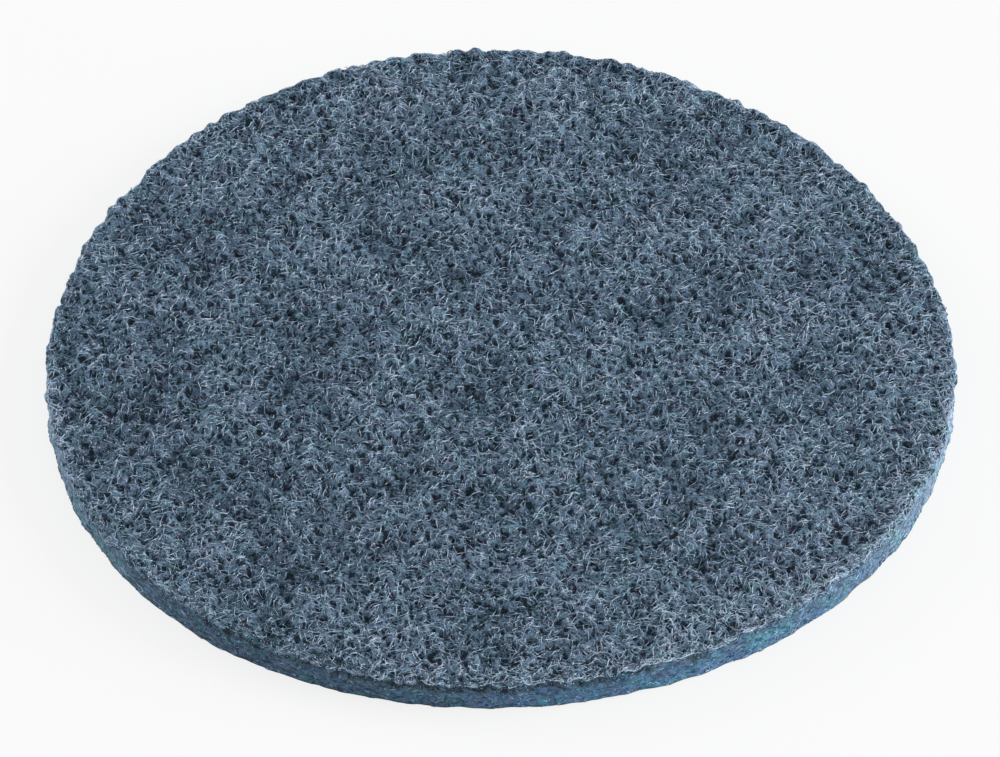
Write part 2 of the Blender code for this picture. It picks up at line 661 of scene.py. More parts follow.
def drifting_hue(tree: Tree, place: Socket, size: float, colour: Socket, share: float,
                 dyes: tuple[tuple[float, Dye], ...]) -> Socket:
    """Turns the hue of a colour towards the dyes, in soft patches, and keeps its lightness.

    Args:
        tree: of the material.
        place: coordinates that the patches lie in.
        size: width of a patch.
        colour: that is turned.
        share: how far it is turned.
        dyes: the dye at each level of a soft noise.

    Returns:
        The turned colour.
    """
    drift = add_node(tree, "TexNoise", {}, {"Vector": place, "Scale": 1 / size, "Detail": 2.0})
    hues = add_node(tree, "ValToRGB", {}, {"Fac": drift.outputs["Fac"]})
    set_stops(hues, tuple((level, dye.value) for level, dye in dyes))
    return add_node(tree, "Mix", COLOURS | {"blend_type": "COLOR"}, {
        "Factor": share, "A": colour, "B": hues.outputs["Color"]}).outputs["Result"]


@dataclass(frozen=True)
class ResinCoatedFibre:
    """Crimped nylon 6.6 fibre, dyed blue, sprayed with resin and dusted with fine grain, then cured.

    The cured coat is dull with a faint shine along each fibre, and its grey grain pales the blue on
    the fibres that stand highest. Deep fibres are drawn dark, partly for the spray they lack and partly
    as painted shade, and darker still in the pores. Single grains are too fine to show, so the specks
    are drawn as wide as two fibres; they also stand in for glints, as painted highlights.
    """

    pores: PoreField | None = None
    name: str = "resin_coated_nylon_fibre"
    shades: Stops = (
        (0.0, "#1F3548"), (0.3, "#43627A"), (0.55, "#7693A9"), (0.8, "#A1BACD"), (1.0, "#E6F1FA"))
    drift_size: float = 3 * MM
    drift_share: float = 0.18
    speck_and_glint_size: float = 0.26 * MM
    speck_and_glint_share: float = 1.1
    pore_share: float = 0.6
    roughness: float = 0.5

    def material(self) -> Material:
        """The shade of a fibre comes from its attribute, less the darkening of the pores on deep ones, partly
        painted shade.

        Returns:
            The material.
        """
        material, tree, shader = new_material(self.name, self.roughness)
        shade = add_node(tree, "Attribute", {"attribute_name": "shade"})
        place = add_node(tree, "TexCoord").outputs["Object"]
        # Specks of grain dust that also stand in for glints along the fibres: partly painted highlights
        specks = add_node(tree, "TexNoise", {}, {
            "Vector": place, "Scale": 1 / self.speck_and_glint_size, "Detail": 2.0, "Roughness": 0.6})
        uneven = add_node(tree, "Math", SCALED_SUM, {
            0: specks.outputs["Fac"], 1: self.speck_and_glint_share, 2: shade.outputs["Fac"]})
        lightness = add_node(tree, "Math", {"operation": "SUBTRACT"}, {
            0: uneven.outputs[0], 1: self.speck_and_glint_share / 2}).outputs[0]
        # Painted shade: deep fibres are drawn darker where they lie in the pores
        if self.pores:
            deep = add_node(tree, "Attribute", {"attribute_name": "deep"})
            share = add_node(tree, "Math", PRODUCT, {0: deep.outputs["Fac"], 1: -self.pore_share})
            lightness = add_node(tree, "Math", SCALED_SUM, {
                0: self.pores.shade(tree, place), 1: share.outputs[0], 2: lightness}).outputs[0]
        ramp = add_node(tree, "ValToRGB", {}, {"Fac": lightness})
        set_stops(ramp, self.shades)
        tinted = drifting_hue(tree, place, self.drift_size, ramp.outputs["Color"], self.drift_share,
                              COAT_DYES)
        tree.links.new(tinted, shader.inputs["Base Color"])
        return material


@dataclass(frozen=True)
class NeedledFelt:
    """Nylon staple, needled dense, dyed blue: the body of the web.

    Needling lays short fibre ends in every direction, which makes the cut edge soft and matt, with
    faint streaks along it. Resin and grain darken it towards the working face, where its fibres show
    as nets of lines, one over the other, and its pores are drawn dark, partly their own deep tone and
    partly painted shade. The opened band under the rim is drawn dark too, partly its own colour and
    partly painted shade, and the edge is drawn paler where bare fibre and painted sheen show. Single
    grains are too fine to show, so the dust is drawn in specks two or three fibres wide.
    """

    pores: PoreField
    name: str = "needled_nylon_felt"
    felt: Stops = ((0.41, "#1B3040"), (0.6, "#6893AE"))
    cells: Stops = ((0.3, "#1F2F3D"), (0.8, "#3A4F63"), (1.0, "#88A3B8"))
    pore_shades: Stops = ((0.36, "#1C3439"), (0.48, "#1D3044"), (0.58, "#1D3044"), (0.68, "#30293A"))
    bare_and_sheen: str = "#A6B9BF"
    fresh: str = "#62A6DA"
    net: str = "#88A3B8"
    opened: str = "#3A4A44"
    patch_tufts: Pair = (0.38, 0.62)
    patch_shares: Pair = (0.3, 1.7)
    pore_drift: float = 1.5 * MM
    dust_size: float = 0.32 * MM
    dust_share: float = 2.2
    tuft_size: float = 0.9 * MM
    tuft_flatness: float = 2.3
    fibre_width: float = 0.13 * MM
    net_sizes: Pair = (1.0 * MM, 0.62 * MM)
    net_sway: float = 1.1
    line_edges: Pair = (0.6, 1.3)
    net_height: float = 0.5
    drift_size: float = 3.5 * MM
    felt_drift: float = 0.34
    coat_drift: float = 0.22
    bump_height: float = 0.15 * MM
    roughness: float = 0.85

    def net_of_fibres(self, tree: Tree, place: Socket, size: float) -> tuple[Socket, Socket]:
        """Lines one fibre wide round cells of the given size, bent by a noise of the same size.

        Args:
            tree: of the material.
            place: coordinates that the net lies in.
            size: width of a cell.

        Returns:
            1 on the lines and 0 between them, and a chance number from 0 to 1 for each cell.
        """
        sway = add_node(tree, "TexNoise", {}, {"Vector": place, "Scale": 1 / size, "Detail": 1.0})
        bent = add_node(tree, "VectorMath", SCALED_SUM, {
            0: sway.outputs["Color"], 1: (self.net_sway * size,) * 3, 2: place}).outputs["Vector"]
        cells = add_node(tree, "TexVoronoi", {"feature": "DISTANCE_TO_EDGE"}, {
            "Vector": bent, "Scale": 1 / size})
        half_width = self.fibre_width / 2 / size
        edges = (edge * half_width for edge in self.line_edges)
        lines = add_node(tree, "MapRange", EASED, dict(zip(
            RANGE, (cells.outputs["Distance"], *edges, 1.0, 0.0))))
        numbered = add_node(tree, "TexVoronoi", {}, {"Vector": bent, "Scale": 1 / size})
        chance = add_node(tree, "SeparateColor", {}, {"Color": numbered.outputs["Color"]})
        return lines.outputs["Result"], chance.outputs["Red"]

    def blue_felt(self, tree: Tree, place: Socket, tufts: Socket,
                  given: dict[str, Socket]) -> Socket:
        """The cut edge's felt, mottled by its tufts, paler for bare fibre and painted sheen, bluer where
        fresh.

        Args:
            tree: of the material.
            place: coordinates of the point.
            tufts: a noise.
            given: the attributes of the body.

        Returns:
            The colour.
        """
        blues = add_node(tree, "ValToRGB", {}, {"Fac": tufts})
        set_stops(blues, self.felt)
        patches = add_node(tree, "MapRange", {}, dict(zip(
            RANGE, (tufts, *self.patch_tufts, *self.patch_shares))))
        felt = blues.outputs["Color"]
        # Paler where bare fibre and painted sheen show, bluer where the felt is fresh
        for name, colour in (("bare_and_sheen", self.bare_and_sheen), ("fresh", self.fresh)):
            share = add_node(tree, "Math", PRODUCT | {"use_clamp": True}, {
                0: given[name], 1: patches.outputs["Result"]})
            felt = add_node(tree, "Mix", COLOURS, {
                "Factor": share.outputs[0], "A": felt, "B": linear(colour)}).outputs["Result"]
        return drifting_hue(tree, place, self.drift_size, felt, self.felt_drift, FELT_DYES)

    def coated_web(self, tree: Tree, place: Socket) -> tuple[Socket, Socket]:
        """The web under the working face: cells of dusted felt in two nets of pale fibres.

        Args:
            tree: of the material.
            place: coordinates of the point.

        Returns:
            The colour, and 1 on the fibres of the nets.
        """
        (wide_net, cell), (fine_net, _) = (self.net_of_fibres(tree, place, size) for size in self.net_sizes)
        nets = add_node(tree, "Math", {"operation": "MAXIMUM"}, {0: wide_net, 1: fine_net}).outputs[0]
        dust = add_node(tree, "TexNoise", {}, {
            "Vector": place, "Scale": 1 / self.dust_size, "Detail": 2.0, "Roughness": 0.6})
        dusted = add_node(tree, "Math", SCALED_SUM, {0: dust.outputs["Fac"], 1: self.dust_share, 2: cell})
        centred = add_node(tree, "Math", {"operation": "SUBTRACT"}, {
            0: dusted.outputs[0], 1: self.dust_share / 2})
        cells = add_node(tree, "ValToRGB", {}, {"Fac": centred.outputs[0]})
        set_stops(cells, self.cells)
        coated = add_node(tree, "Mix", COLOURS, {
            "Factor": nets, "A": cells.outputs["Color"], "B": linear(self.net)}).outputs["Result"]
        return drifting_hue(tree, place, self.drift_size / 2, coated, self.coat_drift, COAT_DYES), nets

    def material(self) -> Material:
        """Blue felt where the coat attribute is 0, coated web where it is 1, shade where pore is 1.

        Returns:
            The material.
        """
        material, tree, shader = new_material(self.name, self.roughness)
        place = add_node(tree, "TexCoord").outputs["Object"]
        given = {name: add_node(tree, "Attribute", {"attribute_name": name}).outputs["Fac"]
                 for name in ("bare_and_sheen", "fresh", "coat", "open", "pore")}
        flattened = add_node(tree, "Mapping", {}, {"Vector": place, "Scale": (1.0, 1.0, self.tuft_flatness)})
        tufts = add_node(tree, "TexNoise", {}, {
            "Vector": flattened.outputs["Vector"], "Scale": 1 / self.tuft_size, "Detail": 5.0,
            "Roughness": 0.75}).outputs["Fac"]
        colour = self.blue_felt(tree, place, tufts, given)
        coated, nets = self.coated_web(tree, place)
        # Pores, the pore attribute and the opened band mix to the dark pore colours: partly the web's own
        # dark tone, partly painted shade
        hollow = add_node(tree, "Math", SCALED_SUM | {"use_clamp": True}, {
            0: self.pores.shade(tree, place), 1: given["coat"], 2: given["pore"]})
        deep = add_node(tree, "TexNoise", {}, {"Vector": place, "Scale": 1 / self.pore_drift, "Detail": 1.0})
        depths = add_node(tree, "ValToRGB", {}, {"Fac": deep.outputs["Fac"]})
        set_stops(depths, self.pore_shades)
        # The opened band mixes to dark olive-grey: partly its own colour, partly painted shade of the recess
        for share, over in ((given["coat"], coated), (given["open"], linear(self.opened)),
                            (hollow.outputs[0], depths.outputs["Color"])):
            colour = add_node(tree, "Mix", COLOURS, {
                "Factor": share, "A": colour, "B": over}).outputs["Result"]
        tree.links.new(colour, shader.inputs["Base Color"])
        rough = add_node(tree, "Math", SCALED_SUM, {0: nets, 1: self.net_height, 2: tufts})
        bump = add_node(tree, "Bump", {}, {"Height": rough.outputs[0], "Distance": self.bump_height})
        tree.links.new(bump.outputs["Normal"], shader.inputs["Normal"])
        return material


@dataclass(frozen=True)
class PlainFinish:
    """A finish of one colour all over."""

    name: str
    colour: str
    roughness: float

    def material(self) -> Material:
        """The Principled shader with its colour and roughness."""
        material, _, shader = new_material(self.name, self.roughness)
        shader.inputs["Base Color"].default_value = linear(self.colour)
        return material


# Crushed and sieved fused alumina, set in the resin: small pale splinters that glint
FUSED_GRAIN = PlainFinish("fused_alumina_grain", "#DCEBF8", roughness=0.3)

# Undyed spun thread of the scrim, whose cut ends show matt and pale tan at the foot of the edge
BARE_THREAD = PlainFinish("undyed_scrim_thread", "#A99B7C", roughness=0.8)


def place_piece(piece: Thing, material: Material) -> Thing:
    """Dresses a piece of the web and ties it to the disc's one body.

    Args:
        piece: in the frame of the model.
        material: its finish.

    Returns:
        The same piece.
    """
    piece.data.materials.append(material)
    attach(piece, BODY_NAME)
    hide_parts(NODE_NAME)
    LOG.info("%s: %d faces", piece.name, len(piece.data.polygons))
    return piece


@dataclass
class WebBody:
    """The felt itself, as one closed surface under all the fibres."""

    shape: DiscShape
    pores: PoreField
    rings: int = 98
    wall_courses: int = 12
    foot_rings: int = 6
    sink: float = 0.62 * MM
    pore_depth: float = 0.7 * MM
    fine_pitch: float = 0.9 * MM
    fine_sink: Pair = (0.75, 0.5)
    fine_shade: float = 0.3
    thin_shade: float = 0.9
    shade_offset: float = 0.6
    inset: float = 0.08 * MM
    foot: float = 0.06 * MM
    crowding: float = 2.5
    tuck: float = 0.6
    open_pore: float = 0.25
    open_dark: float = 0.85
    open_coat: float = 1.5
    bare_and_sheen_share: float = 0.42
    fresh_share: float = 0.45
    map_rows: int = 4
    row_height: float = 0.1
    row_foot: float = 0.005
    row_end: float = 0.01
    face_size: float = 0.56
    face_place: Pair = (0.29, 0.70)
    foot_size: float = 0.36
    foot_place: Pair = (0.79, 0.79)

    def top(self) -> tuple[Array, Array]:
        """The working face, on a square grid whose square rings are bent to round ones.

        The rings crowd towards the rim: ring m from the edge lies m - c (1 - exp(-m / 3)) spacings
        inwards, with c for the crowding.

        Returns:
            Vertices on a square grid, and the share of the dark pore colours at each: more where the fine
            relief sinks the body deeper, as painted shade, and on thin and shaded ground.
        """
        line = np.linspace(-1, 1, 2 * self.rings + 1)
        u, v = np.meshgrid(line, line, indexing="ij")
        ring = np.maximum(np.abs(u), np.abs(v))
        with np.errstate(divide="ignore", invalid="ignore"):
            sideways = np.pi / 4 * v / u + np.where(u < 0, np.pi, 0)
            upwards = np.pi / 2 - np.pi / 4 * u / v + np.where(v < 0, np.pi, 0)
        angle = np.where(np.abs(u) >= np.abs(v), sideways, upwards)
        angle[ring == 0] = 0
        from_rim = (1 - ring) * self.rings
        share = (from_rim - self.crowding * (1 - np.exp(-from_rim / 3))) / (self.rings - self.crowding)
        share = np.clip(share, 0, 1)
        reach = self.shape.edge(angle, np.full_like(angle, self.shape.crest)) - self.inset
        inwards = reach * share
        x, y = reach * (1 - share) * np.cos(angle), reach * (1 - share) * np.sin(angle)
        fine = relief(x, y, self.fine_pitch)
        least, more = self.fine_sink
        sunk = self.sink * (least + more * fine) + self.pore_depth * self.pores.bowl(x, y)
        height = (self.shape.nap(x, y) - self.shape.shoulder(inwards + self.inset)
                  - sunk * self.shape.looseness(inwards))
        # Darker where the fine relief sinks the body deeper, as painted shade, and on thin and shaded ground
        shade = self.fine_shade * fine + self.thin_shade * self.shape.thinness_and_shade(x, y) - self.shade_offset
        return np.stack([x, y, height], axis=-1), np.clip(shade, 0, 1)

    def wall(self, rim: Array) -> tuple[Array, dict[str, Array]]:
        """The courses of the cut edge, from just under the rim to the foot.

        Args:
            rim: points round the rim.

        Returns:
            Courses by points by three, and the values that the felt reads there.
        """
        share = np.arange(1, self.wall_courses + 1)[:, None] / self.wall_courses
        height = rim[:, 2] * (1 - share) + self.foot * share
        angle = np.broadcast_to(np.arctan2(rim[:, 1], rim[:, 0]), height.shape)
        opened = self.shape.opened(angle, height)
        inset = self.inset * (1 + self.tuck * share ** 6)
        reach = self.shape.edge(angle, height) - inset - self.shape.open_depth * opened
        # In the opened band the felt turns dark olive-grey and mixes towards the pore colours: partly its own
        # colour, partly painted shade of the recess
        return polar(reach, angle, height), {
            "pore": self.open_pore * opened,
            "coat": np.clip(self.open_coat * opened, 0, 1),
            "bare_and_sheen": self.bare_and_sheen_share * self.shape.bareness_and_sheen(angle),
            "fresh": self.fresh_share * self.shape.freshness(angle, height),
            "open": self.open_dark * opened}

    def build(self) -> Thing:
        """Joins the working face, the courses of the cut edge and the rings of the underside.

        Returns:
            The object.
        """
        top, pore = self.top()
        side = len(top)
        number = np.arange(side * side).reshape(side, side)
        loop = np.concatenate([number[:-1, 0], number[-1, :-1], number[:0:-1, -1], number[0, :0:-1]])
        around = len(loop)
        wall, wall_values = self.wall(top.reshape(-1, 3)[loop])
        base = wall[-1]
        spoke = 1 - np.arange(1, self.foot_rings + 1)[:, None] / (self.foot_rings + 1)
        under = base * np.stack([spoke, spoke, np.ones_like(spoke)], axis=-1)
        hub = base.mean(axis=0, keepdims=True) * [0, 0, 1]
        points = np.concatenate([part.reshape(-1, 3) for part in (top, wall, under, hub)])
        top_values = {"pore": pore.ravel(), "coat": np.ones(side * side)}
        rest = np.zeros(self.foot_rings * around + 1)
        values = {name: np.concatenate([top_values.get(name, np.zeros(side * side)), value.ravel(), rest])
                  for name, value in wall_values.items()}
        rows = self.wall_courses + self.foot_rings
        loops = np.concatenate([loop, side * side + np.arange(rows * around)]).reshape(rows + 1, around)
        after = np.roll(loops, -1, axis=1)
        bands = np.stack([loops[:-1], loops[1:], after[1:], after[:-1]], axis=-1).reshape(-1, 4)
        grid = np.stack([number[:-1, :-1], number[1:, :-1], number[1:, 1:], number[:-1, 1:]], axis=-1)
        grid = grid.reshape(-1, 4)
        fan = np.stack([loops[-1], np.full(around, len(points) - 1), after[-1]], axis=-1)
        return put_mesh("web_body", points, [grid, bands, fan],
                        self.spots(points[grid.ravel(), :2], base[:, :2]), values)

    def spots(self, face: Array, base: Array) -> Array:
        """Places on the bake map: the two faces as seen from above, the edge as a strip in rows.

        Args:
            face: the corners of the quads of the working face, seen from above.
            base: the points round the foot of the edge, seen from above.

        Returns:
            A row of two for each corner of each face.
        """
        place = np.arange(len(base))
        each = len(base) / self.map_rows
        row = np.floor(place / each)
        row_length = 1 - 2 * self.row_end
        left = (place - row * each) / each * row_length + self.row_end
        right = left + row_length / each
        course = np.arange(self.wall_courses + 1)[:, None] / self.wall_courses
        lines = (row + 0.9 - 0.8 * course) * self.row_height + self.row_foot
        left, right = (np.broadcast_to(ends, lines[1:].shape) for ends in (left, right))
        strip = np.stack([np.stack([left, left, right, right], axis=-1),
                          np.stack([lines[:-1], lines[1:], lines[1:], lines[:-1]], axis=-1)], axis=-1)
        share = 1 - np.arange(self.foot_rings + 1) / (self.foot_rings + 1)
        rings = share[:, None, None] * base / self.shape.diameter
        after = np.roll(rings, -1, axis=1)
        foot = np.stack([rings[:-1], rings[1:], after[1:], after[:-1]], axis=2)
        fan = np.stack([rings[-1], np.zeros_like(base), after[-1]], axis=1)
        under = np.concatenate([foot.reshape(-1, 2), fan.reshape(-1, 2)]) * self.foot_size + self.foot_place
        over = face / self.shape.diameter * self.face_size + self.face_place
        return np.concatenate([over, strip.reshape(-1, 2), under])

    def dress(self) -> Thing:
        """Builds the body and gives it its felt."""
        return place_piece(self.build(), NeedledFelt(self.pores).material())


@dataclass(kw_only=True)
class FibreBundle:
    """What all bundles share: fibres of one form and curl, laid by chance and skinned as one mesh.

    The shade of a fibre goes from 0 for dark to 1 for pale. Its paleness is mottled by two normal
    spreads, from fibre to fibre and from point to point. It lies a tuck deep in the surface, deeper
    by a share of the layer, and its two ends dive.
    """

    shape: DiscShape
    name: str
    seed: int
    fibres: int
    strand: Strand = Strand(2)
    curl: Curl
    widths: Pair
    tuck: float = 0.0
    layer: float = 0.0
    dive: float
    paleness: float = 0.5
    mottle: Pair = (0.0, 0.0)

    def over_disc(self, rng: Chance) -> tuple[Array, Array, Array]:
        """Flat fibres all over the disc, in every direction.

        Args:
            rng: source of the chance.

        Returns:
            First coordinates, second coordinates, and shares of the length from -1/2 to 1/2.
        """
        radius = self.shape.diameter / 2 * np.sqrt(rng.random(self.fibres))
        angle = rng.uniform(0, FULL_TURN, self.fibres)
        starts = np.stack([radius * np.cos(angle), radius * np.sin(angle)], axis=-1)
        headings = rng.uniform(0, FULL_TURN, self.fibres)
        flat, share = self.curl.paths(rng, starts, headings, self.strand.points)
        return flat[..., 0], flat[..., 1], share

    def along_edge(self, rng: Chance, band: Pair, slant: float) -> tuple[Array, Array, Array]:
        """Fibres along the cut edge, unrolled flat.

        Args:
            rng: source of the chance.
            band: least and greatest place across the edge.
            slant: spread of the headings about the edge's own, in radians.

        Returns:
            Directions from the centre, places across the edge, and shares of the length.
        """
        radius = self.shape.diameter / 2
        starts = np.stack([rng.uniform(0, FULL_TURN, self.fibres) * radius,
                           rng.uniform(*band, self.fibres)], axis=-1)
        headings = rng.normal(0, slant, self.fibres)
        flat, share = self.curl.paths(rng, starts, headings, self.strand.points)
        return flat[..., 0] / radius, flat[..., 1], share

    def depth(self, level: Array, share: Array) -> Array:
        """How deep the points of a fibre lie, by its level in the layer and the share along it."""
        return self.tuck + self.layer * level + self.dive * tips(share)

    def mottled(self, rng: Chance, shape: tuple[int, ...]) -> Array:
        """The paleness of each fibre, and of each point in the shape given, by chance."""
        return (self.paleness + rng.normal(0, self.mottle[0], (self.fibres, 1))
                + rng.normal(0, self.mottle[1], shape))

    def skinned(self, paths: Array, widths: Array, out: Array, values: dict[str, Array]) -> Thing:
        """Makes one mesh of the bundle.

        Args:
            paths: fibres by points by three.
            widths: one for each fibre.
            out: direction straight out of the web.
            values: named numbers for the material, fibres by points, held between 0 and 1.

        Returns:
            The object.
        """
        skin = self.strand.skin(paths, widths, out).reshape(-1, 3)
        carried = {name: self.strand.round_each(np.clip(value, 0, 1)) for name, value in values.items()}
        return put_mesh(self.name, skin, self.strand.faces(self.fibres), self.strand.spots(self.fibres),
                        carried)

    def dress(self, material: Material) -> Thing:
        """Builds the bundle and gives it its finish."""
        return place_piece(self.build(), material)


@dataclass(kw_only=True)
class FaceFibres(FibreBundle):
    """A bundle of the curled fibres of the working face."""

    pores: PoreField
    fibres: int = 13500
    curl: Curl = Curl((1.0 * MM, 2.7 * MM), 1 / (3.0 * MM), 0.22)
    widths: Pair = (0.07 * MM, 0.12 * MM)
    layer: float = 0.5 * MM
    thin_sink: float = 0.3
    dive: float = 0.25 * MM
    wave_height: float = 0.06 * MM
    push: float = 0.9
    margin: float = 0.16 * MM
    paleness: float = 0.94
    mottle: Pair = (0.11, 0.16)
    level_shade: float = 0.62
    thin_shade: float = 0.5
    tip_shade: float = 0.12
    paling_shade: float = 0.5
    least_deep: float = 0.15

    def lay(self) -> tuple[Array, Array, Array, Array]:
        """Runs each fibre over the ground at a level of its own, its two ends dipping into the web.

        Returns:
            Paths, widths, and at each point of the paths a shade from 0 for dark to 1 for pale, and
            a depth from 0 for the top of the web to 1.
        """
        rng = np.random.default_rng(self.seed)
        x, y, share = self.over_disc(rng)
        x, y = self.pores.parted(x, y, self.push)
        level = rng.random((self.fibres, 1))
        x, y = self.shape.kept_inside(x, y, np.full_like(x, self.shape.crest), self.margin)
        phase = rng.uniform(0, FULL_TURN, (self.fibres, 1))
        ground, inwards = self.shape.ground(x, y)
        thin_and_shaded = self.shape.thinness_and_shade(x, y) - 0.5
        depth = (self.depth(level + self.thin_sink * thin_and_shaded, share)
                 + self.wave_height * np.sin(3 * np.pi * share + phase))
        height = ground - depth * self.shape.looseness(inwards)
        widths = rng.uniform(*self.widths, self.fibres)
        # Deep fibres and their diving tips are drawn darker, partly as painted shade; thin and shaded ground
        # darkens them too, and the rim paling pales them
        shade = (self.mottled(rng, x.shape) - self.level_shade * level - self.thin_shade * thin_and_shaded
                 - self.tip_shade * tips(share)
                 + self.paling_shade * self.shape.rim_paling(np.arctan2(y, x), inwards))
        deep = np.broadcast_to(self.least_deep + (1 - self.least_deep) * level, x.shape)
        return np.stack([x, y, height], axis=-1), widths, shade, deep

    def build(self) -> Thing:
        """Skins the paths as one mesh."""
        paths, widths, shade, deep = self.lay()
        return self.skinned(paths, widths, np.array([0.0, 0.0, 1.0]), {"shade": shade, "deep": deep})


@dataclass(kw_only=True)
class RimFibres(FibreBundle):
    """Fibres cut by the die, which lie over the shoulder between the working face and the cut edge."""

    name: str = "rim_fibres"
    seed: int = 61
    fibres: int = 2200
    strand: Strand = Strand()
    curl: Curl = Curl((1.2 * MM, 3.0 * MM), 1 / (1.6 * MM))
    widths: Pair = (0.1 * MM, 0.16 * MM)
    band: Pair = (-1.0 * MM, 0.9 * MM)
    reach: Pair = (-3 * MM, 1.9 * MM)
    slant: float = 0.9
    tuck: float = 0.03 * MM
    layer: float = 0.1 * MM
    dive: float = 0.2 * MM
    paleness: float = 0.78
    mottle: Pair = (0.13, 0.12)
    level_shade: float = 0.35
    past_shade: float = 0.25
    bare_and_sheen_shade: float = 0.15
    open_shades: Pair = (0.35, 0.4)

    def build(self) -> Thing:
        """Runs each fibre along and across the shoulder, unrolled flat and then carried over it.

        Returns:
            The object.
        """
        rng = np.random.default_rng(self.seed)
        angle, down, share = self.along_edge(rng, self.band, self.slant)
        down = np.clip(down, *self.reach)
        level = rng.random((self.fibres, 1))
        paths, out = self.shape.over_rim(angle, down, -self.depth(level, share))
        widths = rng.uniform(*self.widths, self.fibres)
        past = np.clip(down / MM, 0, 1)
        # Deeper fibres and those further down the edge are drawn darker, most round the opened direction,
        # partly as painted shade; bare fibre and painted sheen pale them
        shade = (self.mottled(rng, share.shape) - self.level_shade * level - self.past_shade * past
                 + self.bare_and_sheen_shade * self.shape.bareness_and_sheen(angle)
                 - (self.open_shades[0] + self.open_shades[1] * past) * self.shape.swell(angle))
        return self.skinned(paths, widths, out, {"shade": shade})


@dataclass(kw_only=True)
class EdgeFibres(FibreBundle):
    """The short fibre ends that cover the cut edge."""

    name: str = "edge_fibres"
    seed: int = 71
    fibres: int = 5600
    curl: Curl = Curl((0.4 * MM, 1.6 * MM), 1 / (1.6 * MM))
    widths: Pair = (0.1 * MM, 0.17 * MM)
    lowest_middle: float = 0.1 * MM
    foot: float = 0.08 * MM
    slant: float = 1.4
    tuck: float = 0.05 * MM
    open_tuck: float = 1.4
    layer: float = 0.07 * MM
    dive: float = 0.12 * MM
    paleness: float = 0.42
    mottle: Pair = (0.42, 0.06)
    open_shade: float = 0.3
    bare_and_sheen_shade: float = 0.2
    fresh_shade: float = 0.3

    def build(self) -> Thing:
        """Runs each fibre over the edge, unrolled flat and then wrapped round at the edge's radius.

        Returns:
            The object.
        """
        rng = np.random.default_rng(self.seed)
        top = self.shape.crest - self.shape.rim_round
        angle, height, share = self.along_edge(rng, (self.lowest_middle, top), self.slant)
        height = np.clip(height, self.foot, top)
        level = rng.random((self.fibres, 1))
        opened = self.shape.opened(angle, height)
        reach = (self.shape.edge(angle, height) - self.depth(level, share)
                 - self.open_tuck * self.shape.open_depth * opened)
        widths = rng.uniform(*self.widths, self.fibres)
        # Darker in the opened band, partly as painted shade of the recess; paler where bare fibre and painted
        # sheen show, and where the felt is fresh
        shade = (self.mottled(rng, height.shape) - self.open_shade * opened
                 + self.bare_and_sheen_shade * self.shape.bareness_and_sheen(angle)
                 + self.fresh_shade * self.shape.freshness(angle, height))
        return self.skinned(polar(reach, angle, height), widths, polar(1, angle, 0), {"shade": shade})


@dataclass(kw_only=True)
class FootFibres(FibreBundle):
    """Fibres that lie flat in the underside, with the lowest of them on the ground."""

    name: str = "foot_fibres"
    seed: int = 83
    fibres: int = 1000
    strand: Strand = Strand(3)
    curl: Curl = Curl((4 * MM, 9 * MM), 1 / (5 * MM))
    widths: Pair = (0.11 * MM, 0.11 * MM)
    clearance: float = 0.01 * MM
    dive: float = 0.08 * MM
    margin: float = 0.2 * MM
    spread: float = 0.18

    def build(self) -> Thing:
        """Runs each fibre under the body, its two ends dipping into it.

        Returns:
            The object.
        """
        rng = np.random.default_rng(self.seed)
        x, y, share = self.over_disc(rng)
        width = self.widths[0]
        height = np.broadcast_to(self.clearance + width / 2 + self.dive * tips(share), x.shape)
        x, y = self.shape.kept_inside(x, y, np.zeros_like(x), self.margin)
        shade = self.paleness + rng.normal(0, self.spread, (self.fibres, 1))
        return self.skinned(np.stack([x, y, height], axis=-1), np.full(self.fibres, width),
                            np.array([0.0, 0.0, -1.0]), {"shade": np.broadcast_to(shade, x.shape)})


@dataclass(kw_only=True)
class ThreadEnds(FibreBundle):
    """The few pale thread ends at the foot of the cut edge, most of them to the front right."""

    name: str = "thread_ends"
    seed: int = 109
    fibres: int = 18
    strand: Strand = Strand(3)
    curl: Curl = Curl((0.7 * MM, 2.2 * MM), 0.0)
    widths: Pair = (0.12 * MM, 0.18 * MM)
    directions: tuple[float, ...] = (196, 214, 231, 262, 287, 293, 301, 304, 309, 318, 322, 331, 345,
                                     12, 40, 77, 120, 160)
    foot: float = 0.16 * MM
    arch: float = 0.1 * MM
    tuck: float = 0.08 * MM
    dive: float = 0.1 * MM

    def build(self) -> Thing:
        """Lays a short bent end along the foot of the edge at each direction.

        Returns:
            The object.
        """
        rng = np.random.default_rng(self.seed)
        share = np.linspace(-0.5, 0.5, self.strand.points)
        length = rng.uniform(*self.curl.lengths, self.fibres)[:, None]
        angle = np.radians(self.directions)[:, None] + length * share / (self.shape.diameter / 2)
        height = self.foot + self.arch * np.cos(np.pi * share) * rng.uniform(-1, 1, (self.fibres, 1))
        reach = self.shape.edge(angle, height) - self.tuck - self.dive * (2 * share) ** 2
        widths = rng.uniform(*self.widths, self.fibres)
        return self.skinned(polar(reach, angle, height), widths, polar(1, angle, 0), {})


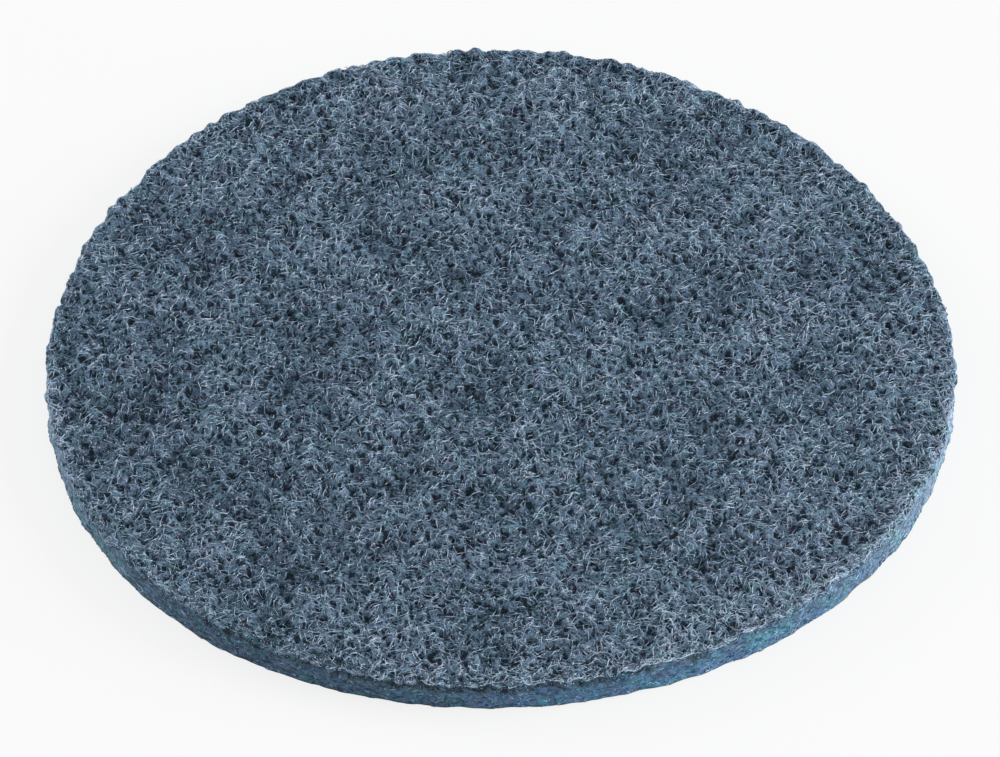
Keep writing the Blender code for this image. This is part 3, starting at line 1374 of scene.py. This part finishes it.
@dataclass
class GrainCoat:
    """Abrasive grains on the highest fibres: small eight-sided splinters."""

    shape: DiscShape
    hosts: list[Array]
    seed: int = 97
    face_grains: int = 9800
    rim_grains: int = 700
    rim_band: Pair = (-0.4 * MM, 1.3 * MM)
    sizes: Pair = (0.12 * MM, 0.23 * MM)
    stretch: Pair = (0.6, 1)
    top_layer: float = 0.2 * MM
    lift: float = 0.08 * MM

    def build(self) -> Thing:
        """Sets grains on chance points of the fibres and the rim, each stretched and turned by chance.

        Returns:
            The object.
        """
        rng = np.random.default_rng(self.seed)
        grains = self.face_grains + self.rim_grains
        spots = np.concatenate([paths[:, 1:-1].reshape(-1, 3) for paths in self.hosts])
        ground, _ = self.shape.ground(spots[:, 0], spots[:, 1])
        near_top = spots[spots[:, 2] > ground - self.top_layer]
        on_face = near_top[rng.choice(len(near_top), self.face_grains, replace=False)] + [0, 0, self.lift]
        on_rim, _ = self.shape.over_rim(rng.uniform(0, FULL_TURN, self.rim_grains),
                                        rng.uniform(*self.rim_band, self.rim_grains), 0.0)
        middles = np.concatenate([on_face, on_rim])
        ends = np.array([[1, 0, 0], [0, 1, 0], [-1, 0, 0], [0, -1, 0], [0, 0, 1], [0, 0, -1]], float)
        turn, _ = np.linalg.qr(rng.normal(size=(grains, 3, 3)))
        turn *= np.sign(np.linalg.det(turn))[:, None, None]
        sizes = rng.uniform(*self.sizes, (grains, 1, 1)) * rng.uniform(*self.stretch, (grains, 1, 3)) / 2
        points = middles[:, None] + (ends * sizes) @ turn
        girdle = np.arange(4)
        after = (girdle + 1) % 4
        faces = np.concatenate([np.stack([girdle, after, np.full(4, 4)], axis=1),
                                np.stack([after, girdle, np.full(4, 5)], axis=1)])
        all_faces = (np.arange(grains)[:, None, None] * 6 + faces).reshape(-1, 3)
        corner, cells = cell_corners(grains)
        near, far = CELL_MARGIN, 1 - CELL_MARGIN
        facet = np.array([[near, near], [far, near], [0.5, far]])
        facets = np.broadcast_to((corner + facet) / cells, (grains, 8, 3, 2))
        grain = put_mesh("abrasive_grain", points.reshape(-1, 3), [all_faces], facets.reshape(-1, 2), {})
        grain.data.shade_flat()
        return grain

    def dress(self) -> Thing:
        """Builds the grains and gives them their mineral."""
        return place_piece(self.build(), FUSED_GRAIN.material())


@dataclass(frozen=True)
class Lamp:
    """A square soft lamp that faces the disc, with its power in watts."""

    name: str
    place: tuple[float, float, float]
    side: float
    power: float

    def hang(self) -> None:
        """Puts the lamp in the scene."""
        light = bpy.data.lights.new(self.name, "AREA")
        light.size = self.side
        light.energy = self.power
        lamp = bpy.data.objects.new(self.name, light)
        lamp.location = self.place
        lamp.rotation_mode = "QUATERNION"
        lamp.rotation_quaternion = (-Vector(self.place)).to_track_quat("-Z", "Y")
        bpy.context.scene.collection.objects.link(lamp)


@dataclass
class Studio:
    """The pale floor, the soft lamps and the camera at the photo's angle."""

    middle: float
    elevation: float = math.radians(44.6)
    roll: float = math.radians(0.21)
    distance: float = 1.0
    lens: float = 262.0
    sensor: float = 36.0
    centre_px: Pair = (498.1, 366.3)
    picture_px: Pair = (1000.0, 757.0)
    floor_side: float = 4.0
    floor_colour: str = "#E6E7E8"
    floor_white: float = 0.8
    sky: float = 0.57
    lamps: tuple[Lamp, ...] = (Lamp("key_lamp", (1.05, 0.02, 0.38), side=0.7, power=13.0),
                               Lamp("side_lamp", (-0.85, 0.5, 0.27), side=0.5, power=4.6))

    def aim_camera(self) -> None:
        """Aims at the middle of the disc, and shifts the frame so that it falls where the photo has it."""
        lens = bpy.data.cameras.new("camera")
        lens.lens = self.lens
        lens.sensor_width = self.sensor
        lens.shift_x = (self.picture_px[0] / 2 - self.centre_px[0]) / self.picture_px[0]
        lens.shift_y = (self.centre_px[1] - self.picture_px[1] / 2) / self.picture_px[0]
        camera = bpy.data.objects.new("camera", lens)
        camera.location = (0, -math.cos(self.elevation) * self.distance,
                           self.middle + math.sin(self.elevation) * self.distance)
        camera.rotation_mode = "QUATERNION"
        camera.rotation_quaternion = (Quaternion((1, 0, 0), math.pi / 2 - self.elevation)
                                      @ Quaternion((0, 0, 1), -self.roll))
        bpy.context.scene.collection.objects.link(camera)
        bpy.context.scene.camera = camera

    def lay_floor(self) -> None:
        """A floor of matt paper, near white to the camera, which keeps the disc's shadow."""
        bpy.ops.mesh.primitive_plane_add(size=self.floor_side)
        floor = bpy.context.object
        floor.name = "floor"
        material, tree, shader = new_material("matt_paper", roughness=1.0)
        shader.inputs["Base Color"].default_value = linear(self.floor_colour)
        shader.inputs["Specular IOR Level"].default_value = 0.0
        ray = add_node(tree, "LightPath")
        share = add_node(tree, "Math", PRODUCT, {0: ray.outputs["Is Camera Ray"], 1: self.floor_white})
        white = add_node(tree, "Emission", {}, {"Color": (1, 1, 1, 1), "Strength": 1.0})
        paper = add_node(tree, "MixShader", {}, {
            0: share.outputs[0], 1: shader.outputs["BSDF"], 2: white.outputs["Emission"]})
        tree.links.new(paper.outputs["Shader"], tree.nodes["Material Output"].inputs["Surface"])
        floor.data.materials.append(material)

    def build(self) -> None:
        """Sets up floor, world, lamps and camera."""
        self.lay_floor()
        world = bpy.data.worlds.new("soft_sky")
        world.use_nodes = True
        sky = world.node_tree.nodes["Background"]
        sky.inputs["Color"].default_value = (1, 1, 1, 1)
        sky.inputs["Strength"].default_value = self.sky
        bpy.context.scene.world = world
        for lamp in self.lamps:
            lamp.hang()
        self.aim_camera()
        bpy.context.scene.view_settings.view_transform = "Standard"


def main() -> None:
    """Builds the disc from its body outwards, then the studio."""
    logging.basicConfig(level=logging.INFO)
    low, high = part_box(NODE_NAME)
    shape = DiscShape(crest=high.z)
    pores = PoreField()
    WebBody(shape, pores).dress()
    coated = ResinCoatedFibre(pores).material()
    bundles = [FaceFibres(shape=shape, pores=pores, name=f"face_fibres_{number}", seed=20 + number)
               for number in range(1, 5)]
    for bundle in bundles:
        bundle.dress(coated)
    dyed = ResinCoatedFibre(
        name="dyed_nylon_fibre", drift_share=0.32, roughness=0.7,
        shades=((0.0, "#1A3144"), (0.5, "#4C7C9F"), (0.85, "#93BFD3"), (1.0, "#CCDCE3"))).material()
    RimFibres(shape=shape).dress(coated)
    RimFibres(shape=shape, name="lip_fibres", seed=67, fibres=900, band=(0.35 * MM, 1.0 * MM), slant=0.4,
              paleness=1.1).dress(dyed)
    EdgeFibres(shape=shape).dress(dyed)
    FootFibres(shape=shape).dress(dyed)
    GrainCoat(shape, [bundle.lay()[0] for bundle in bundles]).dress()
    ThreadEnds(shape=shape).dress(BARE_THREAD.material())
    Studio(middle=(low.z + high.z) / 2).build()


if __name__ == "__main__":
    main()
